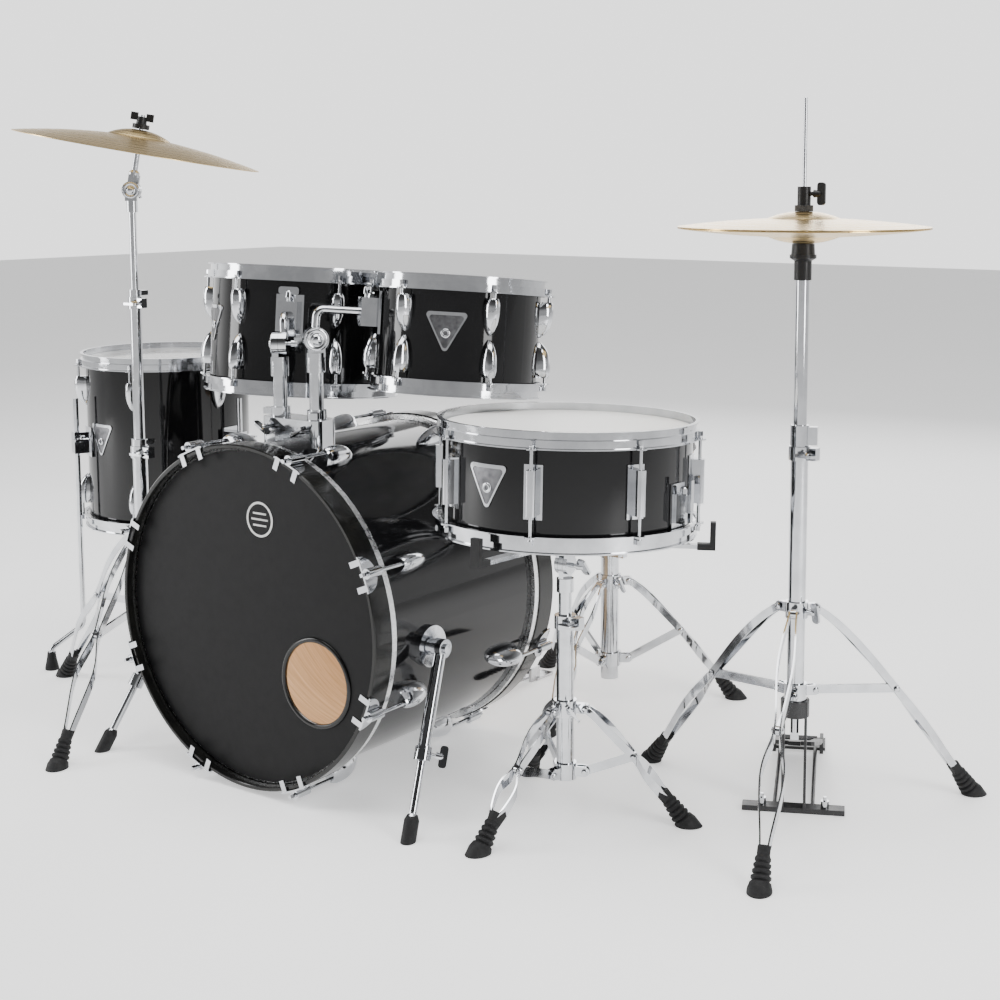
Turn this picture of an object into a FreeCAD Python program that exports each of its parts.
"""Acoustic drum kit: bass drum, two rack toms, floor tom, snare drum, hi-hat, crash cymbal and throne.

Frame: millimetres, +Z up, floor at Z 0, the origin under the middle of the kit. The bass drum lies along Y with its
front head towards -Y, and the player sits on the +Y side. Each drum and stand is made in a frame of its own, centred
on its own axis at floor or shell level, and is then placed in the kit.
"""
import FreeCAD, Part
import math
import os
import re

import Sketcher

V = FreeCAD.Vector
X, Y, Z = V(1, 0, 0), V(0, 1, 0), V(0, 0, 1)

# Driving dimensions, in millimetres and degrees. A stand's angle is that of its first leg, anticlockwise from +X.
DIMENSIONS = {
    "kit layout": {
        "kit_shift_x": -50.35, "kit_shift_y": -364.85,
        "left_tom_x": -157.0, "left_tom_y": 302.0, "left_tom_z": 582.0, "left_tom_tilt": 5.0,
        "right_tom_x": 172.0, "right_tom_y": 300.0, "right_tom_z": 604.0, "right_tom_tilt": 6.0,
        "floor_tom_x": -657.0, "floor_tom_y": 454.0, "floor_tom_z": 277.0, "floor_tom_tilt": 0.0,
        "snare_x": 451.0, "snare_y": 200.0, "snare_z": 438.0, "snare_tilt": 2.0, "snare_stand_angle": -97.0,
        "hihat_x": 717.0, "hihat_y": 407.0, "hihat_angle": -72.0, "hihat_pedal_angle": 115.0,
        "crash_x": -419.0, "crash_y": 175.0, "crash_angle": -70.0,
        "throne_x": 208.0, "throne_y": 693.0, "throne_angle": -85.0,
    },
    "drum shells": {
        "ply": 6.0, "bass_radius": 254.0, "bass_axis_height": 270.0,
        "left_tom_radius": 152.5, "left_tom_depth": 184.0, "left_tom_lugs": 6, "left_tom_lug_angle": -88.0,
        "right_tom_radius": 127.0, "right_tom_depth": 158.0, "right_tom_lugs": 6, "right_tom_lug_angle": -90.0,
        "floor_tom_radius": 152.5, "floor_tom_depth": 308.0, "floor_tom_lugs": 6, "floor_tom_lug_angle": -66.0,
        "snare_radius": 178.0, "snare_depth": 140.0, "snare_lugs": 8, "snare_lug_angle": -70.0,
        "badge_width": 68.0, "badge_height": 64.0,
    },
    "heads and pressed hoops": {
        "film": 0.6, "flesh_ring_inner": 2.4, "flesh_ring_outer": 7.0, "flesh_ring_top": 1.2, "flesh_ring_base": 9.0,
        "hoop_plate": 1.8, "hoop_rise": 12.0, "hoop_flange": 12.0, "hoop_wall": 3.2, "hoop_step": 7.4,
        "ear_radius": 8.0, "rod_offset": 13.0, "rod_radius": 2.4, "rod_hole_radius": 2.8, "rod_head": 5.2,
        "left_tom_lug_gap": 28.0, "right_tom_lug_gap": 20.0, "floor_tom_lug_gap": 32.0,
        "snare_lug_height": 74.0,
    },
    "bass drum fittings": {
        "bass_length": 438.0, "bass_edge": 16.4, "bass_hoop_radius": 264.0, "bass_hoop_inner": 257.4,
        "bass_hoop_width": 38.0,
        "bass_band_inner": 254.6, "bass_band_outer": 262.0, "bass_band_width": 10.0,
        "bass_lugs": 8, "bass_lug_angle": 22.5, "bass_rod_offset": 18.0,
        "port_radius": 62.0, "port_x": 134.0, "port_z": -80.0,
        "spur_pivot_y": 130.0, "spur_pivot_z": 240.0, "spur_pivot_x": 277.0, "spur_tip_x": 324.0,
        "spur_tip_y": -5.0, "spur_tube_radius": 9.0, "spur_rod_radius": 6.0,
        "post_spacing": 76.0, "post_y": 130.0, "post_radius": 11.0, "left_disc_z": 672.0, "right_disc_z": 683.0,
        "arm_radius": 6.3, "left_arm_z": 700.0, "right_arm_z": 711.0,
    },
    "snare stand": {
        "snare_stand_tube": 12.7, "snare_stand_inner_tube": 9.5, "snare_stand_leg_collar": 164.0,
        "snare_stand_brace_collar": 70.0, "snare_stand_bottom": 60.0, "snare_stand_tube_top": 302.0,
        "snare_stand_foot_radius": 180.0, "snare_tilter_z": 376.0, "basket_z": 404.0, "basket_radius": 200.0,
    },
    "hi-hat": {
        "hihat_tube": 12.7, "hihat_inner_tube": 9.5, "hihat_leg_collar": 305.0, "hihat_brace_collar": 183.0,
        "hihat_bottom": 168.0, "hihat_tube_top": 545.0, "hihat_foot_radius": 290.0, "hihat_seat_z": 810.0,
        "hihat_radius": 178.0, "hihat_edge_z": 857.0, "hihat_bow": 11.0, "hihat_bell": 10.0,
        "hihat_rod_radius": 3.0, "hihat_rod_top": 1039.0, "hihat_rod_tip": 70.0,
        "hihat_tip_radius": 2.9, "hihat_gap": 0.8, "cymbal_sheet": 1.2,
        "bell_radius": 52.0, "hihat_board_length": 245.0, "hihat_toe_z": 92.0,
    },
    "crash stand": {
        "crash_tube": 12.7, "crash_middle_radius": 9.5, "crash_top_radius": 6.4, "crash_leg_collar": 313.0,
        "crash_brace_collar": 190.0, "crash_bottom": 172.0, "crash_tube_top": 470.0, "crash_middle_top": 726.0,
        "crash_foot_radius": 290.0, "crash_tilter_z": 906.0, "crash_tilt": 10.0, "crash_tilt_heading": 37.0,
        "crash_radius": 203.0, "crash_bow": 22.0, "crash_bell": 13.0, "crash_cymbal_z": 66.0,
    },
    "throne": {
        "throne_tube": 16.0, "throne_inner_tube": 12.5, "throne_leg_collar": 216.0, "throne_brace_collar": 75.0,
        "throne_bottom": 39.0, "throne_tube_top": 280.0, "throne_foot_radius": 226.0, "seat_radius": 155.0,
        "seat_z": 440.0, "seat_thickness": 75.0,
    },
    "bass drum pedal": {
        "pedal_axle_y": 36.0, "pedal_axle_z": 195.0, "pedal_board_length": 205.0, "pedal_toe_z": 100.0,
        "pedal_heel_z": 20.0, "beater_length": 150.0, "beater_lean": 40.0,
    },
    "tripods": {
        "leg_strip": 11.0, "leg_strip_thickness": 2.4, "foot_length": 60.0, "foot_flare": 17.0, "wing_span": 32.0,
    },
}

doc = FreeCAD.newDocument("drum_kit")
sheet = doc.addObject("Spreadsheet::Sheet", "Dimensions")


def fill_sheet():
    """Writes each driving dimension in a row of its own, with its name as the cell's alias."""
    row = 1
    for heading, cells in DIMENSIONS.items():
        sheet.set(f"A{row}", heading)
        row += 1
        for name, value in cells.items():
            sheet.set(f"A{row}", name)
            sheet.set(f"B{row}", str(value))
            sheet.setAlias(f"B{row}", name)
            row += 1
    doc.recompute()


fill_sheet()
ALIASES = {name for cells in DIMENSIONS.values() for name in cells}
NODES = []


def mm(name):
    """The sheet's value of one driving dimension."""
    return float(sheet.get(name))


def formula(text):
    """An expression with each driving dimension written as its cell in the sheet."""
    text = str(text)
    return re.sub(r"[a-z]\w*", lambda w: f"Dimensions.{w.group()}" if w.group() in ALIASES else w.group(), text)


def number(text):
    return float(sheet.evalExpression(formula(text)))


def at(x=0.0, y=0.0, z=0.0, turn=0.0, axis=Z):
    """Placement moved by x, y, z after a turn about an axis through the origin, in degrees."""
    return FreeCAD.Placement(V(x, y, z), FreeCAD.Rotation(axis, turn))


def facing(point, direction, spin=0.0):
    """Placement that carries the origin to a point and +Z to a direction, after a spin about +Z."""
    aim = FreeCAD.Rotation(Z, direction)
    return FreeCAD.Placement(point, aim.multiply(FreeCAD.Rotation(Z, spin)))


def polar(radius, degrees, z=0.0):
    angle = math.radians(degrees)
    return V(radius * math.cos(angle), radius * math.sin(angle), z)


def around(count, first=0.0):
    """Angles of evenly spaced pieces round a full circle."""
    return [first + 360.0 * i / count for i in range(int(count))]


# ---- building blocks bound to the sheet -------------------------------------------------------------------------

def draw_outline(sketch, points):
    """Closed outline of straight edges whose corners are bound to the sheet."""
    corners = [(number(a), number(b)) for a, b in points]
    count = len(corners)
    for i, (a, b) in enumerate(corners):
        c, d = corners[(i + 1) % count]
        sketch.addGeometry(Part.LineSegment(V(a, b, 0), V(c, d, 0)))
    for i in range(count):
        sketch.addConstraint(Sketcher.Constraint("Coincident", i, 2, (i + 1) % count, 1))
    for i, (a, b) in enumerate(points):
        for kind, text, value in (("DistanceX", a, corners[i][0]), ("DistanceY", b, corners[i][1])):
            index = sketch.addConstraint(Sketcher.Constraint(kind, -1, 1, i, 1, value))
            sketch.setExpression(f"Constraints[{index}]", formula(text))


def sketched_body(name, plane, points):
    """Body with a sketch on one of its own origin planes."""
    body = doc.addObject("PartDesign::Body", name)
    sketch = body.newObject("Sketcher::SketchObject", name + "_outline")
    base = [f for f in body.Origin.OriginFeatures if f.Role == plane][0]
    sketch.AttachmentSupport = (base, [""])
    sketch.MapMode = "FlatFace"
    draw_outline(sketch, points)
    return body, sketch


def turned(name, points, placement=None):
    """Solid of revolution about Z from an outline of (radius, height) corners."""
    body, sketch = sketched_body(name, "XZ_Plane", points)
    turn = body.newObject("PartDesign::Revolution", name + "_turning")
    turn.Profile = sketch
    turn.ReferenceAxis = (sketch, ["V_Axis"])
    turn.Angle = 360
    body.Tip = turn
    if placement:
        body.Placement = placement
    return body


def padded(name, plane, points, length, placement=None):
    """Prism on both sides of an origin plane, length thick in all."""
    body, sketch = sketched_body(name, plane, points)
    pad = body.newObject("PartDesign::Pad", name + "_pad")
    pad.Profile = sketch
    pad.setExpression("Length", formula(length))
    pad.Midplane = True
    body.Tip = pad
    if placement:
        body.Placement = placement
    return body


def pipe(name, outer, inner, low, high, placement=None):
    """Round tube between two heights, or a solid bar when inner is 0."""
    return turned(name, [(inner, low), (outer, low), (outer, high), (inner, high)], placement)


def cylinder(name, radius, height, placement=None):
    bar = doc.addObject("Part::Cylinder", name)
    bar.setExpression("Radius", formula(radius))
    bar.setExpression("Height", formula(height))
    if placement:
        bar.Placement = placement
    return bar


def block(name, length, width, height, placement=None):
    """Box centred on its origin in X and Y, standing on Z 0 of its placement."""
    box = doc.addObject("Part::Box", name)
    for side, text in (("Length", length), ("Width", width), ("Height", height)):
        box.setExpression(side, formula(text))
    shift = at(-number(length) / 2, -number(width) / 2)
    box.Placement = placement.multiply(shift) if placement else shift
    return box


def fused(name, shapes, placement=None):
    union = doc.addObject("Part::MultiFuse", name)
    union.Shapes = shapes
    union.Refine = True
    if placement:
        union.Placement = placement
    return union


def cut(name, base, tools):
    """Base with one or more tools taken away."""
    tool = tools[0] if len(tools) == 1 else fused(name + "_tools", tools)
    difference = doc.addObject("Part::Cut", name)
    difference.Base = base
    difference.Tool = tool
    return difference


def feature(name, shape):
    """Free shape made with Part's own functions from the sheet's sizes."""
    piece = doc.addObject("Part::Feature", name)
    piece.Shape = shape
    return piece


def copies(name, seed, placements):
    """Separate copies of one solid, such as the rods round a drum."""
    doc.recompute()
    shapes = []
    for placement in placements:
        shape = seed.Shape.copy()
        shape.Placement = placement.multiply(seed.Shape.Placement)
        shapes.append(shape)
    return feature(name, Part.makeCompound(shapes))


def node(label, pieces, placement=None):
    """Sub-part of the kit: its separate solids together, under the label that names its file."""
    group = doc.addObject("Part::Compound", label + "_node")
    group.Label = label
    group.Links = pieces
    group.Placement = placement or at(mm("kit_shift_x"), mm("kit_shift_y"))
    NODES.append(group)
    return group


def in_kit(x, y, z=0.0, turn=0.0, axis=Z):
    """Placement in the kit for a unit whose own origin lies at x, y, z of the layout."""
    return at(x + mm("kit_shift_x"), y + mm("kit_shift_y"), z, turn, axis)


# ---- common hardware --------------------------------------------------------------------------------------------

wing_hub = turned("wing_hub", [(0, -6), (3, -6), (3, 0), (5.5, 0), (4.5, 9), (3, 11), (0, 11)])
wing_plate = block("wing_plate", "wing_span", 4, 12, at(z=5))
wing_rounded = doc.addObject("Part::Fillet", "wing_rounded")
wing_rounded.Base = wing_plate
doc.recompute()
wing_rounded.Edges = [(i + 1, 4.5, 4.5) for i, e in enumerate(wing_plate.Shape.Edges) if abs(e.tangentAt(0).y) > 0.9]
wing_bolt = fused("wing_bolt", [wing_hub, wing_rounded])
rivet = turned("rivet", [(0, 0), (4.6, 0), (4.2, 1.2), (2.6, 2.2), (0, 2.5)])
rubber_foot = turned("rubber_foot", [
    (0, -30), ("foot_flare + 1", -30), ("foot_flare", 4), ("foot_flare - 2.5", 12), (11.5, 14), (14, 17), (14, 20),
    (10.8, 22), (13, 25), (13, 28), (10, 30), (12, 33), (12, 36), (9.4, 38), (11, 41), (11, 44), (9, 47),
    (9, "foot_length"), (0, "foot_length")])


def wing_bolts(name, placements):
    """Wing bolts whose stud points back along -Z of each placement."""
    return copies(name, wing_bolt, placements)


def clamp_ring(name, bore, height, z, bolt_angle, wall=4.0):
    """Split clamp: a ring with a bolt lug on one side."""
    ring = pipe(name + "_ring", f"{bore} + {wall}", f"{bore} + 0.06", z, f"{z} + {height}")
    reach = number(bore) + wall + 5
    lug = block(name + "_lug", 14, 13, f"{height} - 4",
                at(*polar(reach, bolt_angle, number(z) + 2), turn=bolt_angle))
    bore_cut = pipe(name + "_bore", f"{bore} + 0.06", 0, f"{z} - 1", f"{z} + {height} + 1")
    whole = fused(name + "_blank", [ring, lug])
    return cut(name, whole, [bore_cut])


def ribbon(points, thickness, across):
    """Face of constant thickness about a smooth curve, in the plane normal to the across vector."""
    curve = Part.BSplineCurve()
    curve.interpolate(points)
    sides = []
    steps = 2 * len(points)
    for side in (1, -1):
        edge_points = []
        for i in range(steps + 1):
            u = curve.FirstParameter + (curve.LastParameter - curve.FirstParameter) * i / steps
            tangent = V(*curve.tangent(u)[0])
            edge_points.append(curve.value(u) + tangent.cross(across).normalize() * (side * thickness / 2))
        rail = Part.BSplineCurve()
        rail.interpolate(edge_points)
        sides.append((rail, edge_points))
    (left, a), (right, b) = sides
    edges = [left.toShape(), Part.makeLine(a[-1], b[-1]), right.toShape(), Part.makeLine(b[0], a[0])]
    return Part.Face(Part.Wire(Part.__sortEdges__(edges)))


def tripod(name, tube):
    """Three double legs, their braces, collars and rubber feet, about a tube on the Z axis."""
    top, low, reach = mm(name + "_leg_collar"), mm(name + "_brace_collar"), mm(name + "_foot_radius")
    first = mm(name + "_angle")
    bore = number(tube)
    pivot = bore + 17
    start, end = V(pivot, 0, top), V(reach - 13, 0, 16)
    joint_at = 0.52

    def side(t):
        return V(start.x + (end.x - start.x) * t, 0, start.z - (start.z - end.z) * t ** 1.22)

    side_points = [side(t) for t in (0, 0.1, 0.25, joint_at, 0.75, 1)]
    spread = ((0, 5.4), (0.045, 5.5), (0.16, 9), (0.32, 10.5), (joint_at - 0.06, 5.3), (joint_at + 0.04, 5.3),
              (joint_at + 0.13, 14.5), (0.8, 12.5), (0.91, 6.2), (1, 4.5))
    plan_points = [V(side(t).x, offset, 0) for t, offset in spread]
    strip, sheet_metal = mm("leg_strip"), mm("leg_strip_thickness")
    side_prism = ribbon(side_points, strip, Y).extrude(V(0, 40, 0))
    plan_prism = ribbon(plan_points, sheet_metal, Z)
    plan_prism.translate(V(0, 0, -20))
    bar = side_prism.common(plan_prism.extrude(V(0, 0, top + 60))).Solids[0]
    bars = [bar, bar.mirror(V(0, 0, 0), Y)]

    knee = side(joint_at)
    brace_start = V(bore + 17, 0, low)
    run = knee - brace_start
    brace_at = FreeCAD.Placement(brace_start, FreeCAD.Rotation(X, run))
    flat = Part.makeBox(run.Length, 5, 13, V(0, -2.5, -6.5))
    ends = [Part.makeCylinder(6.5, 5, V(x, -2.5, 0), Y) for x in (0, run.Length)]
    brace = flat.fuse(ends).removeSplitter()
    brace.Placement = brace_at

    doc.recompute()
    slope = (side(0.93) - end).normalize()
    foot = rubber_foot.Shape.copy()
    foot.Placement = facing(V(reach, 0, 0), slope, 35)
    foot = foot.cut(Part.makeBox(200, 200, 100, V(reach - 100, -100, -100))).cut(bars).Solids[0]

    rivets = []
    for point, half in ((start, 6.8), (brace_start, 6.35), (knee, 6.7)):
        for sign in (1, -1):
            head = rivet.Shape.copy()
            head.Placement = facing(V(point.x, sign * half, point.z), Y * sign)
            rivets.append(head)
    legs, feet = [], []
    for angle in around(3, first):
        for shape in bars + [brace] + rivets:
            turned_shape = shape.copy()
            turned_shape.rotate(V(0, 0, 0), Z, angle)
            legs.append(turned_shape)
        turned_foot = foot.copy()
        turned_foot.rotate(V(0, 0, 0), Z, angle)
        feet.append(turned_foot)

    collars = []
    for place, z, ear_half, gap in (("leg", top, 4.0, 0.0), ("brace", low, 6.2, 6.4)):
        ring = Part.makeCylinder(bore + 4, 24, V(0, 0, z - 12)).cut(Part.makeCylinder(bore + 0.06, 26, V(0, 0, z - 13)))
        for angle in around(3, first):
            ear = Part.makeBox(pivot - bore - 2, 2 * ear_half, 15, V(bore + 2, -ear_half, z - 7.5))
            ear = ear.fuse(Part.makeCylinder(7.5, 2 * ear_half, V(pivot, -ear_half, z), Y))
            if gap:
                ear = ear.cut(Part.makeBox(40, gap, 30, V(bore + 5, -gap / 2, z - 15)))
            ear.rotate(V(0, 0, 0), Z, angle)
            ring = ring.fuse(ear)
        collars.append(ring.cut(Part.makeCylinder(bore + 0.06, 26, V(0, 0, z - 13))).removeSplitter().Solids[0])
    bolt = facing(polar(bore + 10, first + 60, top), polar(1, first + 60))
    return [feature(name + "_legs", Part.makeCompound(legs)), feature(name + "_feet", Part.makeCompound(feet)),
            feature(name + "_collars", Part.makeCompound(collars)),
            wing_bolts(name + "_leg_bolt", [bolt])]


def swept_rod(name, points, radius, bend):
    """Round bar along straight runs with rounded bends."""
    edges = []
    last = points[0]
    for before, corner, after in zip(points, points[1:], points[2:]):
        back, ahead = (before - corner).normalize(), (after - corner).normalize()
        half = back.getAngle(ahead) / 2
        trim = bend / math.tan(half)
        into, out = corner + back * trim, corner + ahead * trim
        middle = corner + (back + ahead).normalize() * (bend / math.sin(half) - bend)
        edges += [Part.makeLine(last, into), Part.Arc(into, middle, out).toShape()]
        last = out
    edges.append(Part.makeLine(last, points[-1]))
    ring = Part.Wire([Part.makeCircle(radius, points[0], points[1] - points[0])])
    return feature(name, Part.Wire(edges).makePipeShell([ring], True, True))


# ---- drums ------------------------------------------------------------------------------------------------------

def drum_heads(name):
    """Two heads, each a film with its flesh ring as one moulded piece."""
    r = name + "_radius"
    head = turned(name + "_head", [
        (0, 0.1), (f"{r} - 1", 0.1), (f"{r} + 0.8", -2), (f"{r} + 0.8", "-flesh_ring_base"),
        (f"{r} + flesh_ring_outer", "-flesh_ring_base"), (f"{r} + flesh_ring_outer", "-flesh_ring_top"),
        (f"{r} + flesh_ring_inner", "-flesh_ring_top"), (f"{r} + 1.6", -1.2), (f"{r} - 0.8", "0.1 + film"),
        (0, "0.1 + film")])
    return copies(name + "_head_pair", head, both_ends(name))


def both_ends(name):
    """Placements of a piece made for the top bearing edge, at both ends of a shell."""
    first = mm(name + "_lug_angle")
    flip = FreeCAD.Rotation(polar(1, first), 180)
    return [at(z=mm(name + "_depth")), FreeCAD.Placement(V(0, 0, 0), flip)]


def drum_hoops(name):
    """Two triple-flanged hoops with an ear and a hole for each rod."""
    r = name + "_radius"
    step, wall, plate = f"{r} + hoop_step", f"{r} + hoop_wall", "hoop_plate"
    seat = "-flesh_ring_top + 0.05"
    pressed = turned(name + "_hoop_profile", [
        (wall, "hoop_rise"), (wall, seat), (step, seat), (step, "-hoop_flange"), (f"{step} + 6", "-hoop_flange"),
        (f"{step} + 6", f"-hoop_flange + {plate}"), (f"{step} + {plate}", f"-hoop_flange + {plate}"),
        (f"{step} + {plate}", f"{seat} + {plate}"), (f"{wall} + {plate}", f"{seat} + {plate}"),
        (f"{wall} + {plate}", f"hoop_rise - {plate}"), (f"{wall} + 6", f"hoop_rise - {plate}"),
        (f"{wall} + 6", "hoop_rise")])
    ears, holes = [], []
    reach = number(f"{r} + rod_offset")
    for i, angle in enumerate(around(mm(name + "_lugs"), mm(name + "_lug_angle"))):
        spot = polar(reach, angle, -mm("hoop_flange"))
        ears.append(cylinder(f"{name}_ear_{i}", "ear_radius", plate, at(*spot)))
        holes.append(cylinder(f"{name}_ear_hole_{i}", "rod_hole_radius", f"{plate} + 4", at(*(spot - Z * 2))))
    hoop = cut(name + "_hoop", fused(name + "_hoop_blank", [pressed] + ears), holes)
    return copies(name + "_hoop_pair", hoop, both_ends(name))


def tension_rod(name, length, radius="rod_radius"):
    """Square-headed rod with a washer, hanging from Z 0 at the top of a hoop's ear."""
    shaft = turned(name + "_shaft", [
        (0, f"-({length})"), (radius, f"-({length})"), (radius, 0), (3.7, 0.02), (3.7, 1.5), (3.4, 1.7),
        (3.8, 4), (0, 4)])
    head = block(name + "_square", "rod_head", "rod_head", 7, at(z=3.5))
    return fused(name, [shaft, head])


def drum_rods(name, reach):
    """A rod for each ear of both hoops, ending inside its lug."""
    rod = tension_rod(name + "_rod", reach)
    top = -mm("hoop_flange") + mm("hoop_plate") + 0.02
    offset = number(name + "_radius + rod_offset")
    spots = [at(*polar(offset, angle, top)) for angle in around(mm(name + "_lugs"), mm(name + "_lug_angle"))]
    ends = both_ends(name)
    return copies(name + "_rod_set", rod, [end.multiply(spot) for end in ends for spot in spots])


def teardrop_lug(name, length, width, rise, hole_offset, hole_radius):
    """Domed teardrop casting: base at X 0, the wide end up, with a hole for the rod in its flat top."""
    sections = ((0.5, 0.76, 0.88), (0.36, 0.97, 1), (0.1, 1, 1), (-0.21, 0.8, 0.79), (-0.41, 0.46, 0.42),
                (-0.5, 0.17, 0.13))
    wires = []
    for along, wide, high in sections:
        z, half, top = along * length, wide * width / 2, high * rise
        major, minor = (V(top, 0, z), V(0, half, z)) if top > half else (V(0, half, z), V(top, 0, z))
        ellipse = Part.Ellipse(major, minor, V(0, 0, z))
        outline = ellipse.toShape()
        half_space = Part.makeBox(100, 200, 20, V(0, -100, z - 10))
        dome = outline.common(half_space)
        ends = [v.Point for v in Part.Wire(Part.__sortEdges__(dome.Edges)).OrderedVertexes]
        wires.append(Part.Wire(Part.__sortEdges__(dome.Edges + [Part.makeLine(ends[-1], ends[0])])))
    casting = Part.makeLoft(wires, True, False)
    hole = Part.makeCylinder(hole_radius, length * 0.3, V(hole_offset, 0, length * 0.21))
    return feature(name, casting.cut(hole))


def badge_outline(scale):
    """Inverted triangle with rounded corners, in the YZ plane."""
    w, h = mm("badge_width") * scale / 2, mm("badge_height") * scale / 2
    corners = [V(0, -w, h), V(0, w, h), V(0, 0, -h)]
    prism = Part.Face(Part.makePolygon(corners + corners[:1])).extrude(V(400, 0, 0))
    upright = [e for e in prism.Edges if abs(e.tangentAt(0).x) > 0.99]
    return prism.makeFillet(5.0 * scale, upright)


def badge(name, z, angle):
    """Curved name plate with a raised rim and a plain sunk field, on a shell's outside."""
    r = mm(name + "_radius")
    depth = mm("badge_height") + 8

    def sleeve(inner, outer):
        wall = Part.makeCylinder(outer, depth, V(0, 0, -depth / 2))
        return wall.cut(Part.makeCylinder(inner, depth + 2, V(0, 0, -depth / 2 - 1)))

    plate = sleeve(r + 0.03, r + 1.8).common(badge_outline(1.0))
    field = sleeve(r + 1.1, r + 3).common(badge_outline(0.84))
    plate = plate.cut(field).Solids[0]
    plate.rotate(V(0, 0, 0), Z, angle)
    plate.translate(V(0, 0, z))
    return feature(name + "_badge", plate)


def shell(name):
    """Wooden shell with bevelled bearing edges."""
    r, depth = name + "_radius", name + "_depth"
    return turned(name + "_staves", [
        (f"{r} - ply", 5), (f"{r} - 2.5", 0), (r, 2.5), (r, f"{depth} - 2.5"), (f"{r} - 2.5", depth),
        (f"{r} - ply", f"{depth} - 5")])


def lug_places(name, height):
    """Placements of lug castings for both ends; the lug's own Z 0 is its middle."""
    gap, r = mm(name + "_lug_gap"), mm(name + "_radius")
    spots = [at(*polar(r + 0.06, angle, -gap - height / 2), turn=angle)
             for angle in around(mm(name + "_lugs"), mm(name + "_lug_angle"))]
    return [end.multiply(spot) for end in both_ends(name) for spot in spots]


def tom_bracket(name, angle, z):
    """Shield plate with a clamp block that holds the tom's arm; the arm enters from outside."""
    r = mm(name + "_radius")
    plate = block(name + "_bracket_plate", 4, 44, 66, at(2.1, 0, -33))
    body = block(name + "_bracket_block", 26, 30, 44, at(16.5, 0, -22))
    bore = cylinder(name + "_bracket_bore", "arm_radius + 0.1", 40, facing(V(9, 0, 0), X))
    blank = cut(name + "_bracket_bored", fused(name + "_bracket_blank", [plate, body]), [bore])
    bolt = facing(V(20, 0, 22.1 + 6), Z, 90)
    stud = wing_bolts(name + "_bracket_bolt", [bolt])
    place = at(*polar(r + 0.1, angle, z), turn=angle)
    return copies(name + "_bracket", group_of(name + "_bracket_set", [blank, stud]), [place])


def group_of(name, pieces):
    group = doc.addObject("Part::Compound", name)
    group.Links = pieces
    return group


LUG_HEIGHT = 56.0


lug = teardrop_lug("tom_lug", LUG_HEIGHT, 25.0, 20.5, mm("rod_offset") - 0.06, mm("rod_hole_radius"))


def tom_nodes(name, extra, merge_rods=False):
    """Shell, heads, hoops, lugs and rods of a tom; extra pieces ride with the lugs."""
    place = in_kit(mm(name + "_x"), mm(name + "_y"), mm(name + "_z"), -mm(name + "_tilt"), X)
    lugs = copies(name + "_lug_set", lug, lug_places(name, LUG_HEIGHT))
    rods = drum_rods(name, name + "_lug_gap - hoop_flange + 14")
    side = 1 if name == "right_tom" else -1
    badge_angle = mm(name + "_lug_angle") + side * 180.0 / mm(name + "_lugs")
    node(name + "_shell", [shell(name), badge(name, mm(name + "_depth") * 0.52, badge_angle)], place)
    node(name + "_heads", [drum_heads(name)], place)
    node(name + "_hoops", [drum_hoops(name)], place)
    if merge_rods:
        node(name + "_lugs_and_rods", [lugs, rods] + extra, place)
    else:
        node(name + "_lugs", [lugs] + extra, place)
        node(name + "_rods", [rods], place)
    return place


# ---- rack toms and floor tom ------------------------------------------------------------------------------------

def kit_point(x, y, z):
    return V(x + mm("kit_shift_x"), y + mm("kit_shift_y"), z)


def rack_tom(name, side):
    """A rack tom with the bracket that its arm goes into, and the arm's line in the kit."""
    post = V(side * mm("post_spacing") / 2, mm("post_y"), 0)
    middle = V(mm(name + "_x"), mm(name + "_y"), 0)
    toward = post - middle
    heading = math.degrees(math.atan2(toward.y, toward.x))
    bracket_z = mm(name.split("_")[0] + "_arm_z") - mm(name + "_z")
    bracket = tom_bracket(name, heading, bracket_z)
    place = tom_nodes(name, [bracket])
    inner = place.multVec(polar(mm(name + "_radius") + 12, heading, bracket_z))
    outer = place.multVec(polar(mm(name + "_radius") + 30, heading, bracket_z))
    return inner, (outer - inner).normalize()


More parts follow.
